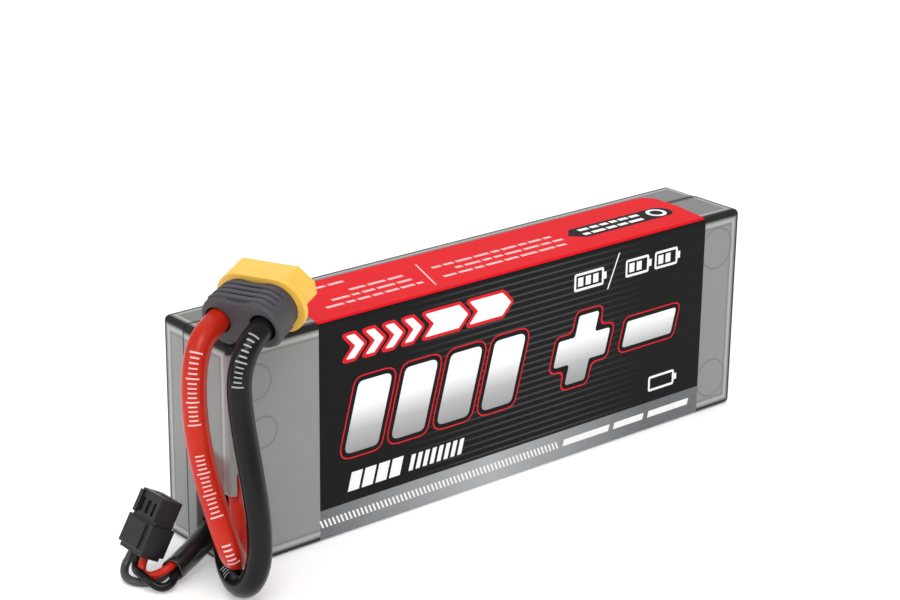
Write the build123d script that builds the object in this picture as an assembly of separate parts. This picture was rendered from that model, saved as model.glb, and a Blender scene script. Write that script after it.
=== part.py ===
from build123d import *
import math
import os

# Two-cell lithium-polymer pack in a smoked plastic case, standing on its long narrow side.
# Frame: X along the pack, leads at the -X end; the label's main panel faces -Y; +Z up.
# Origin: middle of the case's footprint, on the surface that it stands on.

# ---- driving dimensions, mm ----
LENGTH, DEPTH, HEIGHT = 139.0, 23.0, 46.8
WALL = 1.3                      # case wall
EDGE = 1.2                      # outer edge radius
SEAM_Y = 1.7                    # parting plane of the two shells
SEAM_STEP_Y = 3.8               # parting plane beside the lead outlet
STEP_LENGTH = 12.0              # how far the parting step runs from the lead end
END_STEP = 0.4                  # the rear shell is this much shorter at each end
LEAD_DIA = 4.8                  # 12 AWG silicone lead
WIRE_DIA = 1.7                  # 22 AWG silicone balance wire
SLEEVE_DIA, SLEEVE_BORE = 5.0, 4.2
FIT = 0.05                      # clearance round a fitted piece

NEAR_X, FAR_X = -LENGTH / 2, LENGTH / 2
FRONT_Y, BACK_Y = -DEPTH / 2, DEPTH / 2

# Outlet at the lead end: a window in the end wall and a notch round the front corner.
OUTLET_Y = FRONT_Y + 12.2
OUTLET_SILL, OUTLET_TOP = 2.0, 16.0
NOTCH_X = NEAR_X + 6.2
NOTCH_TOP = 20.5

# Raised marks on the inside of the front wall: distance from the lead end, height and radius.
EJECTOR_MARKS = [(6.1, 38.3, 3.6), (7.7, 27.6, 3.2), (131.8, 39.0, 4.7), (132.0, 7.9, 4.4)]
MARK_RISE = 0.15
RIB_X, RIB_BASE_Z, RIB_RISE = (NEAR_X + 9.6, NEAR_X + 10.2), 22.0, 0.6

# Label: one sheet over the top, the front and the underside.
LABEL_THICK = 0.15
LABEL_X0, LABEL_X1 = NEAR_X + 21.1, NEAR_X + 127.9
LABEL_BACK = FRONT_Y + 20.0
LABEL_CORNER = 4.0
LABEL_TOP_SHIFT = (1.1, 1.5)    # how far its ends shift towards +X over the top

# Cells and what is round them.
CELL_DEPTH, CELL_HEIGHT = 9.4, 43.0
CELL_X0, CELL_X1 = NEAR_X + 14.0, NEAR_X + 131.0
CELL_GAP = 0.4
CELL_EDGE = 1.6
CELL_MID_Z = HEIGHT / 2
TERRACE_LENGTH, TERRACE_THICK = 3.0, 0.5
TAB_WIDTH, TAB_THICK = 8.0, 0.3
TAB_Z = (14.0, 33.0)
BOARD_X, BOARD_THICK = NEAR_X + 7.6, 1.2
BOARD_Y = (FRONT_Y + 2.4, BACK_Y - 2.4)
BOARD_Z = (9.0, 40.0)
PAD_BASE_Z = 24.6               # underside of the foam behind the end wall
WRAP_THICK, WRAP_WIDTH = 0.15, 15.0
WRAP_X = (-38.0, 38.0)

# Main plug, in its own frame: Z from the wire end to the mating end, Y up, X to the positive side.
PLUG_ORIGIN = (-68.56, -14.19, 52.15)
PLUG_YAW, PLUG_PITCH, PLUG_ROLL = 22.0, 15.0, 2.0
PLUG_PITCH_X = 4.95             # half the spacing of the two contacts
CAP_LENGTH = 7.4
CAP_END = (17.6, 9.8)           # width and thickness at the wire end
CAP_MOUTH = (16.4, 9.6)
CAP_CAVITY = (14.8, 7.4)
CAP_FLOOR = 2.2
TENON_START = 4.8
CAP_HOLE_DIA = 5.6
WAIST_RADIUS, WAIST_DEPTH = 12.0, 0.4
RIDGE_COUNT, RIDGE_SPACING, RIDGE_START = 4, 1.5, 1.0
RIDGE_WIDTH, RIDGE_RISE, RIDGE_SPAN = 1.0, 0.3, 14.0
FLANGE = (19.4, 11.6, 1.6)
BODY = (15.6, 8.6, 6.2)
BODY_CHAMFER = 3.0
CONTACT_DIA, SOCKET_DIA, SOCKET_DEPTH = 4.6, 3.5, 8.0
CONTACT_START, CONTACT_RECESS = 4.0, 0.6

# Balance plug, in its own frame: Z from the wire end to the mating end, X across the three ways.
TAP_ORIGIN = (-84.4, -1.4, 5.0)
TAP_AXIS = (0.5, 0.0, math.sqrt(0.75))
TAP_PITCH = 2.0
TAP_SIZE = (7.4, 4.8, 12.0)
CLIP_SIZE = (8.2, 5.8, 5.8)
CLIP_BASE = 0.8
TAP_WIRE_DEPTH = 1.6

# ---- routes of the free cords: points in this frame, mm ----
POSITIVE_ROUTE = [
    (-64.9, -7.5, 22.3), (-64.9, -7.5, 17.4), (-66.3, -10.1, 12.8), (-69.3, -14.3, 9.8),
    (-72.6, -18.4, 8.1), (-75.5, -21.1, 8.5), (-77.9, -22.4, 12.3), (-78.6, -20.9, 17.2),
    (-79.0, -17.6, 24.0), (-79.2, -15.1, 31.8), (-79.1, -13.9, 39.5), (-78.2, -13.1, 45.6),
    (-76.1, -12.0, 49.5), (-73.06, -10.67, 51.21), (-66.79, -8.14, 53.02),
]
NEGATIVE_ROUTE = [
    (-65.1, -2.6, 22.3), (-65.1, -2.6, 16.8), (-67.0, -5.4, 11.2), (-70.3, -10.0, 6.5),
    (-73.1, -15.2, 3.4), (-74.8, -20.9, 2.6), (-75.1, -25.5, 4.8), (-74.4, -27.5, 10.0),
    (-74.0, -27.1, 16.5), (-74.0, -25.5, 24.0), (-74.1, -23.5, 31.5), (-74.2, -21.9, 38.5),
    (-74.0, -21.1, 44.5), (-72.4, -20.9, 49.0), (-69.44, -19.88, 51.54), (-63.17, -17.35, 53.35),
]
SLEEVE_ROUTE = [(-67.3, -2.14, 6.16), (-70.3, -3.7, 5.2), (-75.9, -6.1, 4.1), (-81.5, -8.5, 3.2)]
BALANCE_ROUTES = {
    "balance_wire_red": [
        (-63.7, 2.3, 20.0), (-63.7, 2.3, 15.5), (-64.3, 1.0, 11.5), (-65.6, -1.2, 7.8),
        (-70.6, -3.8, 6.2), (-76.2, -6.2, 5.1), (-81.8, -8.6, 4.2), (-83.2, -7.3, 4.1),
        (-84.3, -5.2, 3.0), (-85.0, -3.4, 3.96), (-83.6, -3.4, 6.39),
    ],
    "balance_wire_black": [
        (-63.5, 4.5, 20.0), (-63.5, 4.5, 15.0), (-62.8, 1.3, 8.8), (-64.9, -1.9, 6.3),
        (-69.9, -4.5, 4.7), (-75.5, -6.9, 3.6), (-81.1, -9.3, 2.7), (-83.1, -10.5, 1.5),
        (-85.2, -10.1, 1.1), (-86.5, -8.0, 2.2), (-86.7, -5.3, 3.0), (-86.2, -2.8, 2.6),
        (-85.0, -1.4, 3.96), (-83.6, -1.4, 6.39),
    ],
    "balance_wire_grey": [
        (-63.7, 6.7, 20.0), (-63.7, 6.7, 15.0), (-64.3, 3.5, 9.8), (-65.4, -0.2, 6.3),
        (-70.4, -2.8, 4.7), (-76.0, -5.2, 3.6), (-81.6, -7.6, 2.7), (-84.0, -7.3, 1.3),
        (-85.9, -6.0, 0.9), (-87.6, -4.0, 0.9), (-87.8, -1.4, 1.1), (-86.6, 0.4, 2.3),
        (-85.0, 0.6, 3.96), (-83.6, 0.6, 6.39),
    ],
}


def span_box(x, y, z):
    """A box given by its limits on each axis."""
    size = [limits[1] - limits[0] for limits in (x, y, z)]
    middle = [(limits[1] + limits[0]) / 2 for limits in (x, y, z)]
    return Pos(*middle) * Box(*size)


def case_block(length, inset):
    """The case's outer form, drawn in by an inset on every side."""
    block = Box(length - 2 * inset, DEPTH - 2 * inset, HEIGHT - 2 * inset)
    return Pos(0, 0, HEIGHT / 2) * fillet(block.edges(), EDGE - inset)


def outlet():
    window = span_box((NEAR_X - 1, NEAR_X + 2), (FRONT_Y - 1, OUTLET_Y), (OUTLET_SILL, OUTLET_TOP))
    through_front = (FRONT_Y - 1, FRONT_Y + WALL + 0.1)
    low_notch = span_box((NEAR_X - 1, NOTCH_X), through_front, (OUTLET_SILL, OUTLET_TOP))
    high_notch = span_box((NEAR_X + WALL, NOTCH_X), through_front, (OUTLET_TOP, NOTCH_TOP))
    return window + low_notch + high_notch


def front_half():
    """Everything on the front side of the stepped parting plane."""
    reach = LENGTH
    main = span_box((NEAR_X + STEP_LENGTH, reach), (-reach, SEAM_Y), (-1, HEIGHT + 1))
    stepped = span_box((-reach, NEAR_X + STEP_LENGTH), (-reach, SEAM_STEP_Y), (-1, HEIGHT + 1))
    return main + stepped


def cavity():
    return span_box((NEAR_X + WALL, FAR_X - WALL), (FRONT_Y + WALL, BACK_Y - WALL), (WALL, HEIGHT - WALL))


def label_sheet():
    """The label's own sheet: a skin of the case's form, cut to the label's outline."""
    skin = case_block(LENGTH, 0) - case_block(LENGTH, LABEL_THICK)
    top_corner = (LABEL_X1 + LABEL_TOP_SHIFT[1], LABEL_BACK)
    outline = Polyline(
        (LABEL_X0, FRONT_Y - 1), (LABEL_X0, FRONT_Y + 1), (LABEL_X0 + LABEL_TOP_SHIFT[0], FRONT_Y + 6),
        (LABEL_X0 + LABEL_TOP_SHIFT[0], LABEL_BACK), top_corner, (top_corner[0], FRONT_Y + 10),
        (LABEL_X1, FRONT_Y + 1), (LABEL_X1, FRONT_Y - 1), close=True)
    plan = make_face(outline)
    plan = fillet(plan.vertices().sort_by_distance((top_corner[0], top_corner[1], 0))[0], LABEL_CORNER)
    top = Pos(0, 0, HEIGHT - EDGE) * extrude(plan, EDGE + 1)
    lower = span_box((LABEL_X0, LABEL_X1), (FRONT_Y - 1, LABEL_BACK), (-1, HEIGHT - EDGE))
    return skin & (top + lower)


def ejector_marks():
    """Raised round marks on the inside of the front wall."""
    inner_face = FRONT_Y + WALL
    discs = [
        Pos(NEAR_X + x, inner_face + 0.05, z) * Rot(90, 0, 0) * Cylinder(radius, MARK_RISE + 0.05)
        for x, z, radius in EJECTOR_MARKS]
    rib = span_box(RIB_X, (inner_face - 0.05, inner_face + RIB_RISE), (RIB_BASE_Z, HEIGHT - WALL))
    return discs + [rib]


def shells(label):
    front = case_block(LENGTH, 0) & front_half()
    rear = case_block(LENGTH - 2 * END_STEP, 0) - front_half()
    front = front - cavity() - outlet() - label
    for mark in ejector_marks():
        front = front + mark
    return front, rear - cavity() - outlet() - label


def pouch_cell(y0):
    """A pouch cell with its sealed terrace at the lead end."""
    half = CELL_HEIGHT / 2
    body = span_box((CELL_X0, CELL_X1), (y0, y0 + CELL_DEPTH), (CELL_MID_Z - half, CELL_MID_Z + half))
    body = fillet(body.edges(), CELL_EDGE)
    middle = y0 + CELL_DEPTH / 2
    terrace = span_box(
        (CELL_X0 - TERRACE_LENGTH, CELL_X0 + 1), (middle - TERRACE_THICK / 2, middle + TERRACE_THICK / 2),
        (CELL_MID_Z - half + 2, CELL_MID_Z + half - 2))
    return body + terrace


def cell_tab(y0, z):
    middle = y0 + CELL_DEPTH / 2
    return span_box(
        (BOARD_X + BOARD_THICK, CELL_X0 - TERRACE_LENGTH),
        (middle - TAB_THICK / 2, middle + TAB_THICK / 2), (z - TAB_WIDTH / 2, z + TAB_WIDTH / 2))


def cell_wraps(y0, y1):
    """Two bands of tape round the pair of cells."""
    z0, z1 = CELL_MID_Z - CELL_HEIGHT / 2, CELL_MID_Z + CELL_HEIGHT / 2
    bands = []
    for x in WRAP_X:
        half = (x - WRAP_WIDTH / 2, x + WRAP_WIDTH / 2)
        outer = span_box(half, (y0 - WRAP_THICK, y1 + WRAP_THICK), (z0 - WRAP_THICK, z1 + WRAP_THICK))
        outer = fillet(outer.edges().filter_by(Axis.X), CELL_EDGE)
        inner = fillet(span_box(half, (y0, y1), (z0, z1)).edges().filter_by(Axis.X), CELL_EDGE - WRAP_THICK)
        bands.append(outer - inner)
    return bands


def solder_joint(start):
    """A lead's stripped end, bent on to the board and soldered."""
    x, y, z = start
    post = Pos(x, y, z + 0.7) * Cylinder(1.6, 1.4)
    foot = span_box((x, BOARD_X), (y - 1.4, y + 1.4), (z + 0.2, z + 1.4))
    return post + foot


def wire_joint(start):
    """A balance wire's soldered end on the board."""
    x, y, z = start
    return span_box((x - 0.5, BOARD_X), (y - 0.7, y + 0.7), (z, z + 1.2))


def plug_frame():
    yaw, pitch, roll = (math.radians(angle) for angle in (PLUG_YAW, PLUG_PITCH, PLUG_ROLL))
    along = Vector(math.cos(pitch) * math.cos(yaw), math.cos(pitch) * math.sin(yaw), math.sin(pitch))
    level = Vector(math.sin(yaw), -math.cos(yaw), 0)
    across = level * math.cos(roll) + level.cross(along) * math.sin(roll)
    return Plane(origin=PLUG_ORIGIN, x_dir=-across, z_dir=along)


def stadium(width, thickness, z):
    return Pos(0, 0, z) * SlotOverall(width, thickness)


def grip_ridge(z):
    """A rounded ridge round the cap, left off its two ends."""
    share = z / CAP_LENGTH
    width, thickness = (end + (mouth - end) * share for end, mouth in zip(CAP_END, CAP_MOUTH))
    ridge = extrude(stadium(width + 2 * RIDGE_RISE, thickness + 2 * RIDGE_RISE, z), RIDGE_WIDTH)
    ridge = fillet(ridge.edges(), 0.28)
    return ridge & Pos(0, 0, z) * Box(RIDGE_SPAN, 2 * CAP_END[0], 4 * RIDGE_WIDTH)


def plug_cap():
    """Grip cap over the back of the plug: two lobes with a waist, and ridges across each broad face."""
    cap = loft([stadium(*CAP_END, 0), stadium(*CAP_MOUTH, CAP_LENGTH)])
    cap = fillet(cap.faces().sort_by(Axis.Z)[0].edges(), 0.7)
    for side in (-1, 1):
        waist = Cylinder(WAIST_RADIUS, 4 * CAP_LENGTH)
        cap -= Pos(0, side * (CAP_END[1] / 2 + WAIST_RADIUS - WAIST_DEPTH), 0) * waist
    for index in range(RIDGE_COUNT):
        cap += grip_ridge(RIDGE_START + index * RIDGE_SPACING)
    cap -= extrude(stadium(*CAP_CAVITY, CAP_FLOOR), CAP_LENGTH)
    for side in (-1, 1):
        cap -= Pos(side * PLUG_PITCH_X, 0, 0) * Cylinder(CAP_HOLE_DIA / 2, 3 * CAP_FLOOR)
    return cap


def plug_housing():
    """Moulded housing: tenon in the cap, flange at its mouth, and a body with two chamfered corners."""
    tenon_section = stadium(CAP_CAVITY[0] - 2 * FIT, CAP_CAVITY[1] - 2 * FIT, TENON_START)
    tenon = extrude(tenon_section, CAP_LENGTH - TENON_START)
    flange = extrude(stadium(FLANGE[0], FLANGE[1], CAP_LENGTH), FLANGE[2])
    flange = fillet(flange.faces().sort_by(Axis.Z)[-1].edges(), 0.6)
    half_width, half_depth = BODY[0] / 2, BODY[1] / 2
    cut = BODY_CHAMFER
    corners = [
        (half_width, half_depth), (-half_width + cut, half_depth), (-half_width, half_depth - cut),
        (-half_width, cut - half_depth), (cut - half_width, -half_depth), (half_width, -half_depth),
    ]
    base = CAP_LENGTH + FLANGE[2]
    body = Pos(0, 0, base) * extrude(make_face(Polyline(*corners, close=True)), BODY[2])
    body = fillet(body.faces().sort_by(Axis.Z)[-1].edges(), 0.4)
    housing = tenon + flange + body
    for side in (-1, 1):
        housing -= Pos(side * PLUG_PITCH_X, 0, base) * Cylinder(CONTACT_DIA / 2 + FIT, 6 * CAP_LENGTH)
    return housing


def plug_contact(side):
    """Round socket contact, closed at the end that the lead is soldered to."""
    mating_face = CAP_LENGTH + FLANGE[2] + BODY[2] - CONTACT_RECESS
    length = mating_face - CONTACT_START
    barrel = Pos(0, 0, CONTACT_START + length / 2) * Cylinder(CONTACT_DIA / 2, length)
    barrel = chamfer(barrel.faces().sort_by(Axis.Z)[-1].edges(), 0.3)
    socket = Pos(0, 0, mating_face - SOCKET_DEPTH / 2) * Cylinder(SOCKET_DIA / 2, SOCKET_DEPTH)
    return Pos(side * PLUG_PITCH_X, 0, 0) * (barrel - socket)


def tap_frame():
    return Plane(origin=TAP_ORIGIN, x_dir=(0, -1, 0), z_dir=TAP_AXIS)


def tap_ways():
    return [way * TAP_PITCH for way in (-1, 0, 1)]


def balance_housing():
    """Three-way plug housing: wire holes at the back, contact ways at the front, ribs on one face."""
    width, thick, length = TAP_SIZE
    housing = Pos(0, 0, length / 2) * Box(width, thick, length)
    housing = fillet(housing.edges().filter_by(Axis.Z), 0.4)
    for x in tap_ways():
        housing -= Pos(x, 0, 0) * Cylinder(WIRE_DIA / 2 + FIT, 2 * TAP_WIRE_DEPTH)
        housing -= Pos(x, 0, length) * Box(1.3, 1.3, 2 * (length - TAP_WIRE_DEPTH - 0.6))
        housing -= Pos(x, -thick / 2, length - 2.9) * Box(1.1, 1.0, 2.6)
    for side in (-1, 1):
        housing += Pos(side * (width / 2 - 0.5), -thick / 2, length - 2.6) * Box(1.0, 0.8, 4.4)
    return housing


def balance_clip():
    """Cover clip round the wire end of the balance plug, with a raised thumb pad."""
    width, thick, length = CLIP_SIZE
    middle = CLIP_BASE + length / 2
    ring = fillet(Box(width, thick, length).edges(), 0.3)
    pad = Pos(0, -thick / 2, 0) * fillet(Box(5.2, 0.8, length - 0.6).edges().filter_by(Axis.Y), 0.3)
    bore = Box(TAP_SIZE[0] + FIT, TAP_SIZE[1] + FIT, 2 * length)
    return Pos(0, 0, middle) * (ring + pad - bore)


def balance_terminals():
    length = 8.0
    return [Pos(x, 0, TAP_WIRE_DEPTH + 0.65 + length / 2) * Box(1.1, 1.1, length) for x in tap_ways()]


def corner_radii(route):
    """The largest even arcs that the straight runs allow: 0.45 of the shorter run at each corner."""
    points = [Vector(*point) for point in route]
    radii = []
    for before, corner, after in zip(points, points[1:], points[2:]):
        first, second = corner - before, after - corner
        turn = math.radians(first.get_angle(second))
        radii.append(0.45 * min(first.length, second.length) / math.tan(turn / 2))
    return radii


def tube(name, route, diameter, bore=0):
    """A cord along its route, with its bend radii and volume printed."""
    radii = corner_radii(route)
    path = FilletPolyline(*route, radius=radii)
    start = Plane(origin=path @ 0, z_dir=path % 0)
    section = start * Circle(diameter / 2)
    if bore:
        section -= start * Circle(bore / 2)
    cord = sweep(section, path=path)
    area = math.pi * (diameter ** 2 - bore ** 2) / 4
    print(name, "length", round(path.length, 1), "least radius", round(min(radii), 1),
          "volume ratio", round(cord.volume / (area * path.length), 4))
    return cord


def save(name, *solids):
    """One file per node; a node of several pieces keeps them as separate solids."""
    if len(solids) == 1:
        shape = solids[0]
    else:
        shape = Compound(children=[solid.solids()[0] for solid in solids])
    shape.label = name
    export_step(shape, os.path.join("parts", name + ".step"))


def build_case():
    label = label_sheet()
    front, rear = shells(label)
    save("label", label)
    save("front_shell", front)
    save("rear_shell", rear)


def build_inside():
    front_y = -CELL_GAP / 2 - CELL_DEPTH
    rear_y = CELL_GAP / 2
    for name, y0 in (("front_cell", front_y), ("rear_cell", rear_y)):
        save(name, pouch_cell(y0))
        save(name + "_positive_tab", cell_tab(y0, TAB_Z[0]))
        save(name + "_negative_tab", cell_tab(y0, TAB_Z[1]))
    save("cell_divider", span_box((CELL_X0 + 3, CELL_X1 - 3), (-CELL_GAP / 2, CELL_GAP / 2), (6, 41)))
    save("cell_wraps", *cell_wraps(front_y, rear_y + CELL_DEPTH))
    save("mounting_tape", span_box((-24, 24), (rear_y + CELL_DEPTH, BACK_Y - WALL), (10, 36)))
    save("tab_board", span_box((BOARD_X, BOARD_X + BOARD_THICK), BOARD_Y, BOARD_Z))
    save("series_link", span_box((BOARD_X - 0.3, BOARD_X), (-6.0, 6.0), (29.0, 37.0)))
    inside_y = (FRONT_Y + WALL + 0.25, BACK_Y - WALL - 0.1)
    inside_top = HEIGHT - WALL - 0.1
    save("lead_end_pad", span_box((NEAR_X + WALL + 0.1, BOARD_X - 0.4), inside_y, (PAD_BASE_Z, inside_top)))
    save("far_end_pad", span_box((CELL_X1 + 0.1, FAR_X - WALL - 0.1), inside_y, (WALL + 0.1, inside_top)))


def build_leads():
    save("positive_lead", tube("positive_lead", POSITIVE_ROUTE, LEAD_DIA))
    save("negative_lead", tube("negative_lead", NEGATIVE_ROUTE, LEAD_DIA))
    save("positive_solder_joint", solder_joint(POSITIVE_ROUTE[0]))
    save("negative_solder_joint", solder_joint(NEGATIVE_ROUTE[0]))
    frame = plug_frame().location
    save("plug_cap", frame * plug_cap())
    save("plug_housing", frame * plug_housing())
    save("plug_positive_contact", frame * plug_contact(1))
    save("plug_negative_contact", frame * plug_contact(-1))


def build_balance_lead():
    save("balance_sleeve", tube("balance_sleeve", SLEEVE_ROUTE, SLEEVE_DIA, SLEEVE_BORE))
    for name, route in BALANCE_ROUTES.items():
        save(name, tube(name, route, WIRE_DIA))
    save("balance_solder_joints", *[wire_joint(route[0]) for route in BALANCE_ROUTES.values()])
    frame = tap_frame().location
    save("balance_housing", frame * balance_housing())
    save("balance_clip", frame * balance_clip())
    save("balance_terminals", *[frame * terminal for terminal in balance_terminals()])


os.makedirs("parts", exist_ok=True)
build_case()
build_inside()
build_leads()
build_balance_lead()
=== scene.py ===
import math
import random
import bmesh
import bpy
from mathutils import Matrix, Vector
from mathutils.geometry import tessellate_polygon


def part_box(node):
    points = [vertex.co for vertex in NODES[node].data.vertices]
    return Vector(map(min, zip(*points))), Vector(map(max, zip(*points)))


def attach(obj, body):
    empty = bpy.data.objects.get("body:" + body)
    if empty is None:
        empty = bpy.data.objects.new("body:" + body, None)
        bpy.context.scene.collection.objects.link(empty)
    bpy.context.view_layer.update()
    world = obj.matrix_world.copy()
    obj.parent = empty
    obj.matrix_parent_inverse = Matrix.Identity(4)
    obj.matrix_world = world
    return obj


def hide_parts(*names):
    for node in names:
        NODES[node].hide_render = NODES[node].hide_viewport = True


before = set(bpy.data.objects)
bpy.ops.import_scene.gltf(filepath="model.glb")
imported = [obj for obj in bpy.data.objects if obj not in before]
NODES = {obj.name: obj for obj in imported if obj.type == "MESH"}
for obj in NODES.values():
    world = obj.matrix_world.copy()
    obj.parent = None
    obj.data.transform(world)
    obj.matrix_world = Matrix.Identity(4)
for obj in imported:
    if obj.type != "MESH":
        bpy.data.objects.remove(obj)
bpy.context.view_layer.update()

MM = 0.001
ROOT = "root"
SPECULAR = "Specular IOR Level"  # name of a shader socket

# ---- camera ----
CAMERA_PLACE = (-0.29525, -0.34246, 0.20152)
CAMERA_VIEW = (0.60700, 0.71772, -0.34123)
CAMERA_UP = (0.21112, 0.26832, 0.93991)
CAMERA_LENS, CAMERA_SENSOR = 91.48, 36.0

# ---- light and floor ----
# Each area light: its place in metres, its size and its power in watts.
LIGHTS = {
    "key_light": ((-0.35, -0.55, 0.95), 0.7, 5.2),
    "rear_light": ((0.45, 0.55, 0.80), 0.6, 2.2),
    "end_light": ((-0.80, 0.05, 0.35), 0.5, 1.2),
}
LIT_POINT = Vector((0, 0, 0.02))
SKY_STRENGTH = 0.62
FLOOR_REACH = 4.0

# ---- cords: the routes of their CAD solids, metres; only the red wire bends more smoothly at its end ----
LEAD_DIAMETER, WIRE_DIAMETER, SLEEVE_DIAMETER = 0.0048, 0.0017, 0.0050
POSITIVE_ROUTE = [
    (-0.0649, -0.0075, 0.0223), (-0.0649, -0.0075, 0.0174), (-0.0663, -0.0101, 0.0128),
    (-0.0693, -0.0143, 0.0098), (-0.0726, -0.0184, 0.0081), (-0.0755, -0.0211, 0.0085),
    (-0.0779, -0.0224, 0.0123), (-0.0786, -0.0209, 0.0172), (-0.079, -0.0176, 0.024),
    (-0.0792, -0.0151, 0.0318), (-0.0791, -0.0139, 0.0395), (-0.0782, -0.0131, 0.0456),
    (-0.0761, -0.012, 0.0495), (-0.07306, -0.01067, 0.05121), (-0.06679, -0.00814, 0.05302),
]
NEGATIVE_ROUTE = [
    (-0.0651, -0.0026, 0.0223), (-0.0651, -0.0026, 0.0168), (-0.067, -0.0054, 0.0112),
    (-0.0703, -0.01, 0.0065), (-0.0731, -0.0152, 0.0034), (-0.0748, -0.0209, 0.0026),
    (-0.0751, -0.0255, 0.0048), (-0.0744, -0.0275, 0.01), (-0.074, -0.0271, 0.0165),
    (-0.074, -0.0255, 0.024), (-0.0741, -0.0235, 0.0315), (-0.0742, -0.0219, 0.0385),
    (-0.074, -0.0211, 0.0445), (-0.0724, -0.0209, 0.049), (-0.06944, -0.01988, 0.05154),
    (-0.06317, -0.01735, 0.05335),
]
SLEEVE_ROUTE = [
    (-0.0673, -0.00214, 0.00616), (-0.0703, -0.0037, 0.0052), (-0.0759, -0.0061, 0.0041),
    (-0.0815, -0.0085, 0.0032),
]
RED_WIRE_ROUTE = [
    (-0.0637, 0.0023, 0.02), (-0.0637, 0.0023, 0.0155), (-0.0643, 0.001, 0.0115),
    (-0.0656, -0.0012, 0.0078), (-0.0706, -0.0038, 0.0062), (-0.0762, -0.0062, 0.0051),
    (-0.0815, -0.0085, 0.0042), (-0.0838, -0.0082, 0.0033), (-0.0853, -0.0066, 0.0023),
    (-0.0859, -0.0045, 0.0024), (-0.085, -0.0034, 0.00396), (-0.0836, -0.0034, 0.00639),
]
BLACK_WIRE_ROUTE = [
    (-0.0635, 0.0045, 0.02), (-0.0635, 0.0045, 0.015), (-0.0628, 0.0013, 0.0088),
    (-0.0649, -0.0019, 0.0063), (-0.0699, -0.0045, 0.0047), (-0.0755, -0.0069, 0.0036),
    (-0.0811, -0.0093, 0.0027), (-0.0831, -0.0105, 0.0015), (-0.0852, -0.0101, 0.0011),
    (-0.0865, -0.008, 0.0022), (-0.0867, -0.0053, 0.003), (-0.0862, -0.0028, 0.0026),
    (-0.085, -0.0014, 0.00396), (-0.0836, -0.0014, 0.00639),
]
GREY_WIRE_ROUTE = [
    (-0.0637, 0.0067, 0.02), (-0.0637, 0.0067, 0.015), (-0.0643, 0.0035, 0.0098),
    (-0.0654, -0.0002, 0.0063), (-0.0704, -0.0028, 0.0047), (-0.076, -0.0052, 0.0036),
    (-0.0816, -0.0076, 0.0027), (-0.084, -0.0073, 0.0013), (-0.0859, -0.006, 0.0009),
    (-0.0876, -0.004, 0.0009), (-0.0878, -0.0014, 0.0011), (-0.0866, 0.0004, 0.0023),
    (-0.085, 0.0006, 0.00396), (-0.0836, 0.0006, 0.00639),
]

# ---- case and label, from the frame ----
case_lo, case_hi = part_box("front_shell")
NEAR_X, FRONT_Y, TOP_Z = case_lo.x, case_lo.y, case_hi.z
BACK_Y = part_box("rear_shell")[1].y
CASE_DEPTH = (BACK_Y - FRONT_Y) / MM
CASE_EDGE = 1.2 * MM             # radius of the case's outer edges
# Round marks inside the front wall: distance from the lead end, height and radius.
EJECTOR_MARKS = [(6.1 * MM, 38.3 * MM, 3.6 * MM), (7.7 * MM, 27.6 * MM, 3.2 * MM),
                 (131.8 * MM, 39.0 * MM, 4.7 * MM), (132.0 * MM, 7.9 * MM, 4.4 * MM)]
# Parting plane of the two shells; it steps back beside the lead outlet.
SEAM_Y, SEAM_STEP_Y, SEAM_STEP_X = 1.7 * MM, 3.8 * MM, NEAR_X + 12.0 * MM
STRIPE_TOP = 6.9 * MM            # upper edge of the label's silver stripe
PRINT_BASE = -0.02 * MM          # how deep a printed layer starts in the film
FIRST_INK, SECOND_INK, THIRD_INK = 0.02 * MM, 0.035 * MM, 0.05 * MM     # heights of printed layers
BIG_FOOT, BIG_HEAD = 17.5, 32.3  # heights of the front panel's large marks, millimetres

# ---- what shows on and through the smoked case, with the shade and light painted on it ----
SEAM_SHADOW = 0.6 * MM           # half the width of the dark line at the seam
TOP_SEAM_SHADOW = 1.2 * MM       # the same on the top face
RIM_SHADE_FADE = (1.15 * MM, 1.65 * MM)           # distance from an edge over which its painted dark rim of shade ends
WALL_GLOW = (2.15 * MM, 0.55 * MM)          # painted pale line of light inside the rim: distance and half width
WALL_LINE = (2.9 * MM, 0.3 * MM)            # grey line inside that one
MARK_LINE = 0.28 * MM            # half the width of an ejector mark's rim
FACE_FADE = (0.2 * MM, 0.4 * MM)            # depth over which a mark on one face ends
TOP_FADE = (TOP_Z - 0.4 * MM, TOP_Z - 0.1 * MM)
CORNER_FADE = (1.6 * MM, 2.2 * MM)
HIDDEN_LEAD_FOOT = (15.5 * MM, 16.5 * MM)   # heights between which a lead shows behind the end wall
HIDDEN_LEAD_HEAD = (22.5 * MM, 24.5 * MM)
HIDDEN_LEAD_WIDTH = 5.2 * MM
# Painted colours of the case: black for the shade along its rims and for the dark seam, pale for the glow
# of light inside the rims, and grey for the lines of its inner walls.
RIM_SHADE_AND_SEAM_BLACK, PAINTED_GLOW_PALE, WALL_GREY = (0.012, 0.012, 0.013), (0.72, 0.72, 0.71), (0.16, 0.16, 0.165)
HIDDEN_RED, HIDDEN_BLACK = (0.20, 0.08, 0.08), (0.08, 0.07, 0.08)
CLOUD_SCALE, GRAIN_SCALE = 45, 3500
CLEARNESS = 0.25                 # share of the light that passes through, away from rims and seam

# ---- the label's film ----
PRINT_EDGE = 0.05 * MM           # half the width over which one printed colour gives way to the next
PINSTRIPE_PITCH = 1.45 * MM
PINSTRIPE_MIDDLE = NEAR_X + 76 * MM
PINSTRIPE_FADE = (8 * MM, 34 * MM)          # distance from their middle over which the stripes fade out
SILVER_GLOW_MIDDLE, SILVER_GLOW_REACH = NEAR_X + 66 * MM, 45 * MM


# ---- shader helpers ----

def new_material(name):
    """A new material with its node tree and its shader."""
    material = bpy.data.materials.new(name)
    material.use_nodes = True
    tree = material.node_tree
    return material, tree, tree.nodes["Principled BSDF"]


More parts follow.
